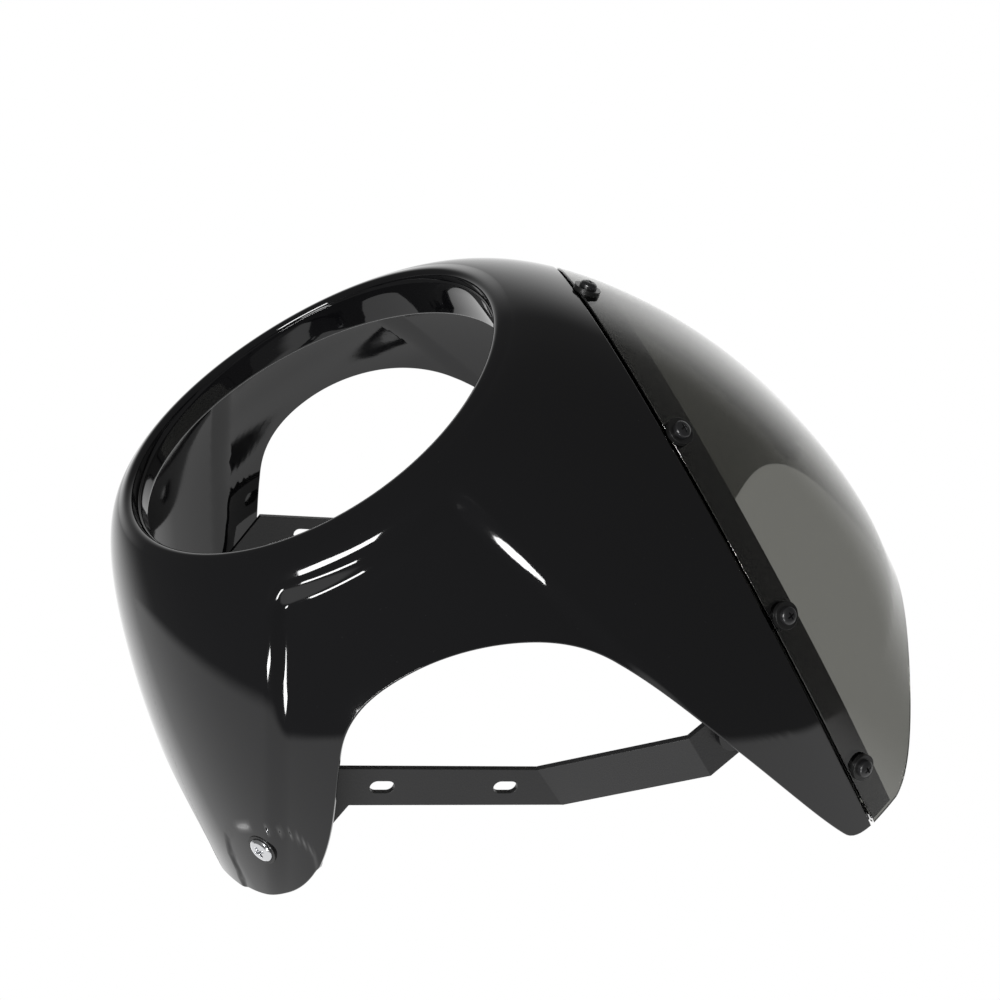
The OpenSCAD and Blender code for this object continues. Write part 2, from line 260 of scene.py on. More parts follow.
@dataclass(frozen=True)
class Cuts:
    """Where the skin is cut, in millimetres: the joint, the back edges and the arch under the chin."""

    joint_h: float = 128.0
    joint_fall: float = 0.02
    joint_gap: float = 1.4
    tip_y: float = 264.5
    leg_y: float = 151.6
    leg_z: float = -141.0
    arch_y: float = 151.0
    arch_r: float = 64.0
    crown_trail_y: float = 207.0
    tip_trail_y: float = 265.0

    def joint_z(self, y: Array, up: float = 0.0) -> Array:
        """Height of the joint at a depth, moved up."""
        return self.joint_h + up - self.joint_fall * y

    def trail_y(self, z: Array) -> Array:
        """Depth of the screen's back edge at a height."""
        turn = np.clip((z - 136) / 64, 0, 1) * math.pi
        return self.crown_trail_y + (self.tip_trail_y - self.crown_trail_y) * (1 + np.cos(turn)) / 2

    def side_view(self) -> Array:
        """Back edge of the shell as (depth, height), from the upper tip to the leg's end."""
        curves = [([[264.5, 126], [264.5, 117], [262, 112], [257, 110]], 30),
                  ([[257, 110], [225, 98], [150, 84], [104, 61.5]], 160),
                  ([[104, 61.5], [76, 49], [60, 18], [60.3, -11]], 90),
                  ([[60.3, -11], [60.6, -36], [70, -49], [84, -58.5]], 60),
                  ([[84, -58.5], [110, -78], [152, -98], [151.6, -141]], 110)]
        return np.concatenate([bezier(c, n) for c, n in curves] + [[[self.leg_y, self.leg_z]]])

    def shell_edge(self, skin: Skin) -> Array:
        """Left half of the shell's whole edge as (a, y), from the joint's front over the tip to the chin.

        Args:
            skin: The surface that is cut.

        Returns:
            Dense polyline in skin coordinates.
        """
        y_tip = self.tip_y
        a_tip = float(skin.angle_at(np.array([y_tip]), np.array([self.joint_z(y_tip)]))[0])
        front_a = np.linspace(0, a_tip * 0.8, 160)
        front_y = skin.depth_where(front_a, lambda y, z: z > self.joint_z(y), 1, y_tip)
        rear_y = np.linspace(front_y[-1], y_tip, 260)[1:]
        rear = np.stack([skin.angle_at(rear_y, self.joint_z(rear_y)), rear_y], -1)
        side = self.side_view()
        side = side[side[:, 1] < self.joint_z(side[:, 0])]
        back = np.stack([skin.angle_at(side[:, 0], side[:, 1]), side[:, 0]], -1)
        under_z = np.linspace(self.leg_z, -161.8, 200)
        under = np.stack([skin.angle_at(np.full(200, self.leg_y), under_z), np.full(200, self.leg_y)], -1)
        under_x = skin.point(under[:, 0], under[:, 1])[:, 0]
        under = under[under_x > self.arch_r][1:]
        x = self.arch_r * np.cos(np.linspace(0, math.pi / 2, 140))
        y = self.arch_y - np.sqrt(np.clip(self.arch_r**2 - x * x, 0, None))
        a = np.full_like(x, 2.9)
        for _ in range(30):
            a = math.pi - np.arcsin(np.clip(x / skin.radius(a, y), 0, 1))
        front = np.stack([front_a, front_y], -1)
        return np.concatenate([front, rear, back, under, np.stack([a, y], -1)])


def resample(skin: Skin, line: Array, spacing: float) -> Array:
    """Points at even distances along a line drawn on the skin.

    Args:
        skin: The surface.
        line: Dense polyline of (a, y).
        spacing: Distance between points, in millimetres.

    Returns:
        Array of (a, y).
    """
    p = skin.point(line[:, 0], line[:, 1])
    way = np.concatenate([[0], np.cumsum(np.linalg.norm(np.diff(p, axis=0), axis=1))])
    count = max(4, int(round(way[-1] / spacing)) + 1)
    at = np.linspace(0, way[-1], count)
    return np.stack([np.interp(at, way, line[:, 0]), np.interp(at, way, line[:, 1])], -1)


def edge_profile(wall: float, radius: float, steps: int) -> Array:
    """Rounded edge of a sheet as (distance inward, depth), from its outer to its inner face.

    Args:
        wall: Thickness of the sheet.
        radius: Radius of both corners.
        steps: Segments in each corner.

    Returns:
        Array of points.
    """
    turn = np.linspace(0, math.pi / 2, steps + 1)
    outer = np.stack([radius * (1 - np.sin(turn)), radius * (1 - np.cos(turn))], -1)
    inner = np.stack([radius * (1 - np.cos(turn)), wall - radius + radius * np.sin(turn)], -1)
    return np.concatenate([outer, inner])


class Grid:
    """Grid of points that becomes one mesh, with a normal for each point."""

    def __init__(self, points: Array, normals: Array, wrap_columns: bool, wrap_rows: bool) -> None:
        """Keeps a grid.

        Args:
            points: Array (columns, rows, 3) in millimetres.
            normals: Unit normals of the same shape.
            wrap_columns: Whether the last column joins the first.
            wrap_rows: Whether the last row joins the first.
        """
        self.points, self.normals = points, normals
        self.wrap_columns, self.wrap_rows = wrap_columns, wrap_rows

    def build(self, name: str) -> bpy.types.Object:
        """Makes the mesh object.

        Args:
            name: Name of the object.

        Returns:
            The object, linked to the scene.
        """
        columns, rows = self.points.shape[:2]
        i = np.arange(columns if self.wrap_columns else columns - 1)
        j = np.arange(rows if self.wrap_rows else rows - 1)
        i, j = np.meshgrid(i, j, indexing="ij")
        k, l = (i + 1) % columns, (j + 1) % rows
        quads = np.stack([i * rows + j, k * rows + j, k * rows + l, i * rows + l], -1).reshape(-1, 4)
        faces = quads.tolist()
        if self.wrap_rows and not self.wrap_columns:
            faces.append(list(range(rows))[::-1])
            faces.append([(columns - 1) * rows + r for r in range(rows)])
        mesh = bpy.data.meshes.new(name)
        mesh.from_pydata((self.points.reshape(-1, 3) * MM).tolist(), [], faces)
        mesh.validate()
        mesh.polygons.foreach_set("use_smooth", [True] * len(mesh.polygons))
        mesh.normals_split_custom_set_from_vertices(self.normals.reshape(-1, 3).tolist())
        mesh.update()
        piece = bpy.data.objects.new(name, mesh)
        bpy.context.scene.collection.objects.link(piece)
        return piece


def grid_normals(points: Array, wrap_columns: bool, wrap_rows: bool) -> Array:
    """Normals of a grid from its own points.

    Args:
        points: Array (columns, rows, 3).
        wrap_columns: Whether columns close on themselves.
        wrap_rows: Whether rows close on themselves.

    Returns:
        Unit normals.
    """
    def along(axis: int, wrap: bool) -> Array:
        """Differences along one axis."""
        if wrap:
            return np.roll(points, -1, axis) - np.roll(points, 1, axis)
        return np.gradient(points, axis=axis)
    n = np.cross(along(0, wrap_columns), along(1, wrap_rows))
    length = np.linalg.norm(n, axis=-1, keepdims=True)
    return n / np.where(length > 1e-9, length, 1)


def placed(axes: Array, origin: Array, side: int) -> Matrix:
    """Matrix of a frame, or of its mirror image on the right side.

    Args:
        axes: The frame's axes as columns.
        origin: Its origin in millimetres.
        side: 1 for the left side, -1 for the right.

    Returns:
        Matrix from the frame to the row frame, in metres.
    """
    m = np.eye(4)
    m[:3, :3], m[:3, 3] = axes, origin * MM
    if side < 0:
        flip = np.diag([*MIRROR, 1])
        m = flip @ m @ flip
    return Matrix(m.tolist())


@dataclass(frozen=True)
class Seat:
    """Place of a fastener on the skin: clock angle in degrees and depth in millimetres."""

    angle: float
    depth: float

    def frame(self, skin: Skin, below: float, side: int) -> Matrix:
        """Frame with its origin below the skin and +Z along the skin's normal.

        Args:
            skin: The surface.
            below: Depth of the origin under the skin.
            side: 1 for the left side, -1 for the right.

        Returns:
            Matrix from the fastener's own frame to the row frame, in metres.
        """
        a, y = np.array([math.radians(self.angle)]), np.array([self.depth])
        p, n = skin.inset(a, y, np.array([below]))[0], skin.normal(a, y)[0]
        x = unit(np.cross([0, 1, 0], n))
        return placed(np.stack([x, np.cross(n, x), n], -1), p, side)


def lathe(profile: Sequence[Sequence[float]], steps: int = 64) -> Grid:
    """Ring turned from a closed profile of (radius, height), drawn counter-clockwise.

    Args:
        profile: Points of the section.
        steps: Segments round the axis.

    Returns:
        Grid in the ring's own millimetres.
    """
    t = np.arange(steps) * 2 * math.pi / steps
    p = np.asarray(profile, float)
    points = np.stack([np.cos(t)[:, None] * p[:, 0], np.sin(t)[:, None] * p[:, 0],
                       np.ones((steps, 1)) * p[:, 1]], -1)
    return Grid(points, grid_normals(points, True, True), True, True)


def rounded_section(corners: Sequence[tuple[float, float, float]], steps: int = 4) -> list[list[float]]:
    """Closed section with each corner rounded.

    Args:
        corners: Points as (radius, height, corner radius).
        steps: Segments in each corner.

    Returns:
        List of points.
    """
    out: list[list[float]] = []
    count = len(corners)
    for k, (x, z, r) in enumerate(corners):
        here = np.array([x, z])
        before = unit(np.array(corners[k - 1][:2]) - here)
        after = unit(np.array(corners[(k + 1) % count][:2]) - here)
        start, end = here + before * r, here + after * r
        for s in range(steps + 1):
            t = s / steps
            out.append(((1 - t) ** 2 * start + 2 * t * (1 - t) * here + t * t * end).tolist())
    return out


class Ray(Enum):
    """Kinds of ray that see the plain white background."""

    CAMERA = "Is Camera Ray"
    TRANSMISSION = "Is Transmission Ray"


def socket_group(name: str, inputs: dict[str, float], outputs: dict[str, str]) -> bpy.types.NodeTree:
    """Empty shader node group with float inputs.

    Args:
        name: Name of the group.
        inputs: Names and default values.
        outputs: Names and socket types.

    Returns:
        The node tree, with its input and output nodes named In and Out.
    """
    tree = bpy.data.node_groups.new(name, "ShaderNodeTree")
    for label, value in inputs.items():
        tree.interface.new_socket(label, in_out="INPUT", socket_type="NodeSocketFloat").default_value = value
    for label, kind in outputs.items():
        tree.interface.new_socket(label, in_out="OUTPUT", socket_type=kind)
    tree.nodes.new("NodeGroupInput").name = "In"
    tree.nodes.new("NodeGroupOutput").name = "Out"
    return tree


class Effects:
    """Node groups shared by the finishes: slow waves with fine grain, and handling marks with dust."""

    patch_fac: tuple[float, float] = (0.35, 0.7)

    def __init__(self) -> None:
        """Builds both node groups."""
        self.relief = self._relief()
        self.marks = self._marks()

    @staticmethod
    def _relief() -> bpy.types.NodeTree:
        """Height of a moulded or coated surface: slow waves plus fine grain."""
        values = {"Wave Scale": 30.0, "Wave": 0.2, "Grain Scale": 900.0, "Grain": 0.1}
        tree = socket_group("surface_relief", values, {"Height": "NodeSocketFloat"})
        put, link = tree.nodes.new, tree.links.new
        place = put("ShaderNodeTexCoord")
        total: Optional[bpy.types.NodeSocket] = None
        for kind in ("Wave", "Grain"):
            noise = put("ShaderNodeTexNoise")
            noise.inputs["Detail"].default_value = 2.0
            link(place.outputs["Object"], noise.inputs["Vector"])
            link(tree.nodes["In"].outputs[f"{kind} Scale"], noise.inputs["Scale"])
            weighted = put("ShaderNodeMath")
            weighted.operation = "MULTIPLY"
            link(noise.outputs["Fac"], weighted.inputs[0])
            link(tree.nodes["In"].outputs[kind], weighted.inputs[1])
            if total is None:
                total = weighted.outputs[0]
                continue
            add = put("ShaderNodeMath")
            link(total, add.inputs[0])
            link(weighted.outputs[0], add.inputs[1])
            total = add.outputs[0]
        link(total, tree.nodes["Out"].inputs["Height"])
        return tree

    @staticmethod
    def _marks() -> bpy.types.NodeTree:
        """Roughness that varies in soft patches, and a mask of sparse dust specks."""
        values = {"Low": 0.04, "High": 0.1, "Patch Scale": 18.0, "Dust Scale": 260.0, "Dust": 0.05}
        tree = socket_group("handling_marks", values,
                            {"Roughness": "NodeSocketFloat", "Dust": "NodeSocketFloat"})
        put, link = tree.nodes.new, tree.links.new
        place = put("ShaderNodeTexCoord")
        noise = put("ShaderNodeTexNoise")
        noise.inputs["Detail"].default_value = 5.0
        link(place.outputs["Object"], noise.inputs["Vector"])
        link(tree.nodes["In"].outputs["Patch Scale"], noise.inputs["Scale"])
        spread = put("ShaderNodeMapRange")
        spread.inputs["From Min"].default_value = Effects.patch_fac[0]
        spread.inputs["From Max"].default_value = Effects.patch_fac[1]
        link(noise.outputs["Fac"], spread.inputs["Value"])
        link(tree.nodes["In"].outputs["Low"], spread.inputs["To Min"])
        link(tree.nodes["In"].outputs["High"], spread.inputs["To Max"])
        link(spread.outputs["Result"], tree.nodes["Out"].inputs["Roughness"])
        specks = put("ShaderNodeTexVoronoi")
        link(place.outputs["Object"], specks.inputs["Vector"])
        link(tree.nodes["In"].outputs["Dust Scale"], specks.inputs["Scale"])
        near = put("ShaderNodeMath")
        near.operation = "LESS_THAN"
        link(specks.outputs["Distance"], near.inputs[0])
        link(tree.nodes["In"].outputs["Dust"], near.inputs[1])
        link(near.outputs[0], tree.nodes["Out"].inputs["Dust"])
        return tree


@dataclass(frozen=True)
class Finish:
    """One procedural finish of the object."""

    name: str
    color: tuple[float, float, float]
    low: float
    high: float
    metallic: float = 0.0
    specular: float = 0.5
    ior: float = 1.5
    wave: float = 0.0
    wave_scale: float = 30.0
    grain: float = 0.0
    grain_scale: float = 900.0
    bump_depth: float = 0.0001
    dust: float = 0.0
    dust_color: float = 0.25
    transmission: float = 0.0
    bevel: float = 0.0

    def make(self, effects: Effects) -> bpy.types.Material:
        """Builds the material.

        Args:
            effects: The shared node groups.

        Returns:
            A material named after the finish.
        """
        material = bpy.data.materials.new(self.name)
        material.use_nodes = True
        tree = material.node_tree
        put, link = tree.nodes.new, tree.links.new
        shader = tree.nodes["Principled BSDF"]
        shader.inputs["Base Color"].default_value = (*self.color, 1)
        shader.inputs["Metallic"].default_value = self.metallic
        shader.inputs["Specular IOR Level"].default_value = self.specular
        shader.inputs["IOR"].default_value = self.ior
        shader.inputs["Transmission Weight"].default_value = self.transmission
        marks = put("ShaderNodeGroup")
        marks.node_tree = effects.marks
        marks.inputs["Low"].default_value = self.low
        marks.inputs["High"].default_value = self.high
        marks.inputs["Dust"].default_value = self.dust
        link(marks.outputs["Roughness"], shader.inputs["Roughness"])
        if self.dust > 0:
            mix = put("ShaderNodeMix")
            mix.data_type = "RGBA"
            mix.inputs["A"].default_value = (*self.color, 1)
            mix.inputs["B"].default_value = (*[self.dust_color] * 3, 1)
            link(marks.outputs["Dust"], mix.inputs["Factor"])
            link(mix.outputs["Result"], shader.inputs["Base Color"])
        relief = put("ShaderNodeGroup")
        relief.node_tree = effects.relief
        for label, value in (("Wave Scale", self.wave_scale), ("Wave", self.wave),
                             ("Grain Scale", self.grain_scale), ("Grain", self.grain)):
            relief.inputs[label].default_value = value
        bump = put("ShaderNodeBump")
        bump.inputs["Distance"].default_value = self.bump_depth
        link(relief.outputs["Height"], bump.inputs["Height"])
        if self.bevel > 0:
            round_edge = put("ShaderNodeBevel")
            round_edge.samples = 4
            round_edge.inputs["Radius"].default_value = self.bevel * MM
            link(round_edge.outputs["Normal"], bump.inputs["Normal"])
        link(bump.outputs["Normal"], shader.inputs["Normal"])
        return material


FINISHES = {
    "shell": Finish("gloss_black_moulding", (0.0035, 0.0035, 0.004), 0.03, 0.075, wave=0.35, wave_scale=42.0,
                    grain=0.02, dust=0.02, dust_color=0.06, ior=1.56),
    "screen": Finish("smoked_clear", (0.145, 0.145, 0.132), 0.01, 0.04, ior=1.49, transmission=1.0,
                     wave=0.12, wave_scale=30.0),
    "black_screw": Finish("black_plated_screw", (0.012, 0.012, 0.013), 0.22, 0.42, specular=0.6, grain=0.5,
                          bevel=0.25),
    "black_washer": Finish("black_rubber_washer", (0.008, 0.008, 0.008), 0.28, 0.5, grain=0.6, bevel=0.5),
    "bright_screw": Finish("bright_plated_screw", (0.86, 0.87, 0.89), 0.08, 0.2, metallic=1.0, grain=0.1,
                           bevel=0.3),
    "plated": Finish("zinc_plating", (0.55, 0.55, 0.57), 0.25, 0.4, metallic=1.0, grain=0.3, bevel=0.2),
    "bracket": Finish("satin_black_coating", (0.012, 0.012, 0.0125), 0.3, 0.45, grain=1.0, grain_scale=1400.0,
                      bevel=0.5, specular=0.5),
    "insert": Finish("turned_brass", (0.7, 0.5, 0.2), 0.2, 0.35, metallic=1.0, bevel=0.2),
}


class Workshop:
    """Makes each finish once and dresses pieces with it."""

    def __init__(self) -> None:
        """Builds the shared effects and all finishes."""
        effects = Effects()
        self.materials = {slot: finish.make(effects) for slot, finish in FINISHES.items()}

    def dress(self, piece: bpy.types.Object, slot: str) -> None:
        """Puts a finish on a piece.

        Args:
            piece: The piece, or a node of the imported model.
            slot: Name of the record's material slot.
        """
        if not piece.material_slots:
            piece.data.materials.append(self.materials[slot])
        for holder in piece.material_slots:
            holder.material = self.materials[slot]

    def finish_piece(self, piece: bpy.types.Object, slot: str, *replaced: str) -> bpy.types.Object:
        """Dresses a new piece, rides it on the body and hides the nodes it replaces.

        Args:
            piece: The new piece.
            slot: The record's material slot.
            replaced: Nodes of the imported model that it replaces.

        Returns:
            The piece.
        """
        self.dress(piece, slot)
        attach(piece, "root")
        if replaced:
            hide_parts(*replaced)
        LOG.info("%s: %d points", piece.name, len(piece.data.vertices))
        return piece


@dataclass
class Shell:
    """The moulded shell: rim bead, skin, cut edges, inner face and the lamp tube behind the rim."""

    skin: Skin
    cuts: Cuts
    spacing: float = 2.2
    outer_rows: int = 46
    inner_rows: int = 22
    edge_r: float = 0.8
    start_y: float = 0.6
    bore_r: float = 90.0
    tube_wall: float = 3.0
    tube_front: float = 2.5
    tube_depth: float = 17.0
    tube_slope: float = 0.078
    bead_tip: tuple[float, float] = (94.2, -1.35)
    bead_inner: tuple[float, float] = (91.5, 1.2)
    bead_pull: tuple[float, float] = (1.7, 1.5)
    outer_spread: float = 1.55
    inner_spread: float = 1.4
    edge_pull: int = 6
    inner_start: float = 3.0

    def _bead(self, a: Array) -> Array:
        """Front of the rim, from the tube's mouth over the bead to the skin's first row.

        Args:
            a: Clock angles of the columns.

        Returns:
            Array (columns, rows, 2) of radius and depth.
        """
        n = len(a)
        wave = self.skin.rim_y(a)
        start = np.full(n, self.start_y)
        first = self.skin.point(a, start)
        second = self.skin.point(a, start + 0.2)
        s = np.stack([np.hypot(first[:, 0], first[:, 2]), first[:, 1]], -1)
        way = unit(s - np.stack([np.hypot(second[:, 0], second[:, 2]), second[:, 1]], -1))
        tip = np.stack([np.full(n, self.bead_tip[0]), self.bead_tip[1] + wave], -1)
        inner = np.stack([np.full(n, self.bead_inner[0]), self.bead_inner[1] + wave], -1)
        rows = [np.stack([np.full(n, self.bore_r + 0.1), np.full(n, self.tube_front + 0.6)], -1),
                np.stack([np.full(n, self.bore_r + 0.5), np.full(n, self.tube_front + 0.1)], -1)]
        rows.append(np.stack([inner[:, 0] - 0.2, np.maximum(self.tube_front - 0.05, inner[:, 1])], -1))
        for t in np.linspace(0, math.pi / 2, 8):
            r = tip[:, 0] - (tip[:, 0] - inner[:, 0]) * math.cos(t)
            y = inner[:, 1] - (inner[:, 1] - tip[:, 1]) * math.sin(t)
            rows.append(np.stack([r, y], -1))
        for t in np.linspace(0, 1, 9)[1:-1]:
            p1, p2 = tip + [self.bead_pull[0], 0], s + self.bead_pull[1] * way
            rows.append((1 - t) ** 3 * tip + 3 * (1 - t) ** 2 * t * p1 + 3 * (1 - t) * t * t * p2 + t**3 * s)
        return np.stack(rows, 1)

    def _tube(self, a: Array) -> Array:
        """Inside of the front: from the inner skin to the tube, round its back edge and forward in the bore.

        Args:
            a: Clock angles of the columns.

        Returns:
            Array (columns, rows, 2) of radius and depth.
        """
        back = self.tube_depth + self.tube_slope * self.bore_r * np.cos(a)
        outer = self.bore_r + self.tube_wall
        round_r = self.tube_wall / 2 - 0.1
        rows = [np.stack([np.full_like(a, outer + 2.0), 6.4 + 0.5 * self.skin.rim_y(a)], -1),
                np.stack([np.full_like(a, outer + 0.5), 6.9 + 0.5 * self.skin.rim_y(a)], -1),
                np.stack([np.full_like(a, outer), 7.6 + 0.5 * self.skin.rim_y(a)], -1)]
        middle = self.bore_r + self.tube_wall / 2
        rows.append(np.stack([np.full_like(a, outer), back - round_r - 0.3], -1))
        for t in np.linspace(0, math.pi, 9):
            rows.append(np.stack([middle + self.tube_wall / 2 * math.cos(t) + 0 * a,
                                  back - round_r + round_r * math.sin(t)], -1))
        for t in (0.25, 0.5, 0.75):
            rows.append(np.stack([np.full_like(a, self.bore_r), back - (back - self.tube_front) * t], -1))
        return np.stack(rows, 1)

    def _turned(self, a: Array, section: Array) -> Array:
        """Points of a section of radius and depth at each clock angle."""
        return np.stack([section[..., 0] * np.sin(a)[:, None], section[..., 1],
                         section[..., 0] * np.cos(a)[:, None]], -1)

    def build(self, shop: Workshop) -> bpy.types.Object:
        """Makes the shell.

        Args:
            shop: Dresses the piece.

        Returns:
            The shell's object.
        """
        edge = resample(self.skin, self.cuts.shell_edge(self.skin), self.spacing)
        a, y = edge[:, 0], edge[:, 1]
        step = self.skin.inward(a, y)
        front = self._turned(a, self._bead(a))
        s = np.linspace(0, 1, self.outer_rows)
        last_a, last_y = a + self.edge_r * step[:, 0], y + self.edge_r * step[:, 1]
        row_y = self.start_y + (last_y - self.start_y)[:, None] * s**self.outer_spread
        row_a = a[:, None] + (last_a - a)[:, None] * s**self.edge_pull
        outer, outer_n = self.skin.point(row_a, row_y), self.skin.normal(row_a, row_y)
        rim = edge_profile(self.skin.wall, self.edge_r, 4)[1:-1]
        rim_a = a[:, None] + step[:, :1] * rim[:, 0]
        rim_y = y[:, None] + step[:, 1:] * rim[:, 0]
        lip = self.skin.inset(rim_a, rim_y, np.broadcast_to(rim[:, 1], rim_a.shape))
        t = np.linspace(1, 0, self.inner_rows)
        in_y = self.inner_start + (last_y - self.inner_start)[:, None] * t**self.inner_spread
        in_a = a[:, None] + (last_a - a)[:, None] * t**self.edge_pull
        inner_n = self.skin.normal(in_a, in_y)
        inner = self.skin.point(in_a, in_y) - self.skin.wall * inner_n
        tube = self._turned(a, self._tube(a))
        half = np.concatenate([front, outer, lip, inner, tube], 1)
        points = np.concatenate([half, (half * MIRROR)[-2:0:-1]])
        normals = grid_normals(points, True, True)
        first = front.shape[1]
        for start, known in ((first, outer_n), (first + outer.shape[1] + lip.shape[1], -inner_n)):
            normals[:len(a), start:start + known.shape[1]] = known
            normals[len(a):, start:start + known.shape[1]] = (known * MIRROR)[-2:0:-1]
        piece = Grid(points, normals, True, True).build("shell")
        return shop.finish_piece(piece, "shell", "cowl_shell")


@dataclass
class Band:
    """A patch of the skin between a front and a back limit on each meridian, with rounded edges."""

    skin: Skin
    name: str
    slot: str
    replaced: tuple[str, ...]
    top: float
    bottom: float
    edge_r: float
    rows: int

    def build(self, a: Array, y_front: Array, y_back: Array, shop: Workshop) -> bpy.types.Object:
        """Makes the patch.

        Args:
            a: Clock angles of the left half's columns, from the middle plane to the tip.
            y_front: Front limits.
            y_back: Back limits.
            shop: Dresses the piece.

        Returns:
            The patch's object.
        """
        wall = self.bottom - self.top
        back = self.skin.inward(a, y_back, closed_ends=False)
        ahead = -self.skin.inward(a, y_front, closed_ends=False)
        room = np.clip((y_back - y_front) / (3 * self.edge_r), 0.02, 1)[:, None]
        back[0, 0] = ahead[0, 0] = 0
        rim = edge_profile(wall, self.edge_r, 4)
        parts_a, parts_y, parts_d = [], [], []
        s = np.linspace(0, 1, self.rows)
        pull = room * self.edge_r
        begin = (a[:, None] + ahead[:, :1] * pull, y_front[:, None] + ahead[:, 1:] * pull)
        end = (a[:, None] + back[:, :1] * pull, y_back[:, None] + back[:, 1:] * pull)
        for way, depth in ((s, self.top), (s[::-1], self.bottom)):
            if depth == self.bottom:
                parts_a.append(a[:, None] + back[:, :1] * room * rim[1:-1, 0])
                parts_y.append(y_back[:, None] + back[:, 1:] * room * rim[1:-1, 0])
                parts_d.append(np.broadcast_to(self.top + rim[1:-1, 1], parts_a[-1].shape))
            parts_a.append(begin[0] * (1 - way) + end[0] * way)
            parts_y.append(begin[1] * (1 - way) + end[1] * way)
            parts_d.append(np.full(parts_a[-1].shape, depth))
        parts_a.append(a[:, None] + ahead[:, :1] * room * rim[-2:0:-1, 0])
        parts_y.append(y_front[:, None] + ahead[:, 1:] * room * rim[-2:0:-1, 0])
        parts_d.append(np.broadcast_to(self.top + rim[-2:0:-1, 1], parts_a[-1].shape))
        full_a, full_y = np.concatenate(parts_a, 1), np.concatenate(parts_y, 1)
        depth = np.concatenate(parts_d, 1)
        face_n = self.skin.normal(full_a, full_y)
        half = self.skin.point(full_a, full_y) - depth[..., None] * face_n
        points = np.concatenate([(half * MIRROR)[:0:-1], half])
        face_n = np.concatenate([(face_n * MIRROR)[:0:-1], face_n])
        normals = grid_normals(points, False, True)
        inner = self.rows + len(rim) - 2
        normals[:, :self.rows] = face_n[:, :self.rows]
        normals[:, inner:inner + self.rows] = -face_n[:, inner:inner + self.rows]
        piece = Grid(points, normals, False, True).build(self.name)
        return shop.finish_piece(piece, self.slot, *self.replaced)


@dataclass
class ScreenAndFlange:
    """The smoked screen and the rebated flange of the shell that carries it."""

    skin: Skin
    cuts: Cuts
    screen_t: float = 2.7
    flange_t: float = 2.9
    flange_low: float = -5.0
    flange_high: float = 14.5
    spacing: float = 1.6
    seat_gap: float = 0.12
    tip_setback: float = 0.3
    flange_setback: float = 0.6
    least_width: float = 0.15
    tip_margin: float = 0.0006
    screen_edge_r: float = 0.7
    flange_edge_r: float = 0.6
    screen_rows: int = 46
    flange_rows: int = 14

    def _tip_angle(self, up: float) -> float:
        """Clock angle where a line above the joint meets the tips' depth."""
        y = np.array([self.cuts.tip_y - self.tip_setback])
        return float(self.skin.angle_at(y, self.cuts.joint_z(y, up))[0])

    def _front(self, a: Array, up: float) -> Array:
        """Depth at which each meridian rises over a line above the joint."""
        end = self.cuts.tip_y - self.tip_setback
        return self.skin.depth_where(a, lambda y, z: z > self.cuts.joint_z(y, up), 1, end)

    def _columns(self, line_up: float, tip: float) -> Array:
        """Clock angles at even distances along a line above the joint.

        Args:
            line_up: Height of the line above the joint.
            tip: Largest clock angle.

        Returns:
            Angles from 0 to the tip.
        """
        dense = np.concatenate([np.linspace(0, tip * 0.8, 200), np.linspace(tip * 0.8, tip, 900)[1:]])
        return resample(self.skin, np.stack([dense, self._front(dense, line_up)], -1), self.spacing)[:, 0]

    def _back(self, a: Array) -> Array:
        """Depth of the screen's back edge on each meridian."""
        return self.skin.depth_where(a, lambda y, z: y > self.cuts.trail_y(z), 100, self.cuts.tip_y)

    def build(self, shop: Workshop) -> None:
        """Makes the screen and the flange.

        Args:
            shop: Dresses the pieces.
        """
        gap = self.cuts.joint_gap
        a = self._columns(gap, self._tip_angle(gap) - self.tip_margin)
        front = self._front(a, gap)
        back = np.maximum(self._back(a), front + self.least_width)
        Band(self.skin, "screen", "screen", ("windscreen",), 0.0, self.screen_t, self.screen_edge_r,
             self.screen_rows).build(a, front, back, shop)
        a = self._columns(self.flange_low, self._tip_angle(self.flange_low) - self.tip_margin)
        front = self._front(a, self.flange_low)
        back = np.minimum(self._front(a, self.flange_high), self.cuts.tip_y - self.flange_setback)
        back = np.maximum(back, front + self.least_width)
        Band(self.skin, "screen_flange", "shell", (), self.screen_t + self.seat_gap,
             self.screen_t + self.flange_t, self.flange_edge_r, self.flange_rows).build(a, front, back, shop)


@dataclass
class Bosses:
    """Moulded bosses inside the shell for the brackets' screws."""

    skin: Skin
    foot: Seat = Seat(138.0, 121.6)
    stay: Seat = Seat(57.5, 166.5)
    boss_r: float = 9.0
    root: float = 2.2
    foot_top: float = 6.2
    stay_top: float = 5.7
    foot_bore: float = 3.3
    stay_bore: float = 4.0

    def _stay_frame(self, side: int) -> Matrix:
        """Frame of the upper boss, whose seat has no fore-and-aft tilt."""
        a, y = np.array([math.radians(self.stay.angle)]), np.array([self.stay.depth])
        n = self.skin.normal(a, y)[0]
        n = unit(np.array([n[0], 0, n[2]]))
        axes = np.stack([np.cross([0, 1, 0], n), [0, 1, 0], n], -1)
        return placed(axes, self.skin.point(a, y)[0] - self.stay_top * n, side)

    def build(self, shop: Workshop) -> None:
        """Makes the four bosses.

        Args:
            shop: Dresses the pieces.
        """
        for label, side in SIDES:
            foot = self.foot.frame(self.skin, self.foot_top, side)
            for kind, place, top, bore in (
                    ("foot_boss", foot, self.foot_top, self.foot_bore),
                    ("stay_boss", self._stay_frame(side), self.stay_top, self.stay_bore)):
                height = top - self.root
                section = rounded_section([(bore, 0, 0.3), (self.boss_r, 0, 0.7), (self.boss_r, height, 0.1),
                                           (bore, height, 0.1)])
                piece = lathe(section).build(f"{kind}_{label}")
                piece.data.transform(place)
                shop.finish_piece(piece, "shell")


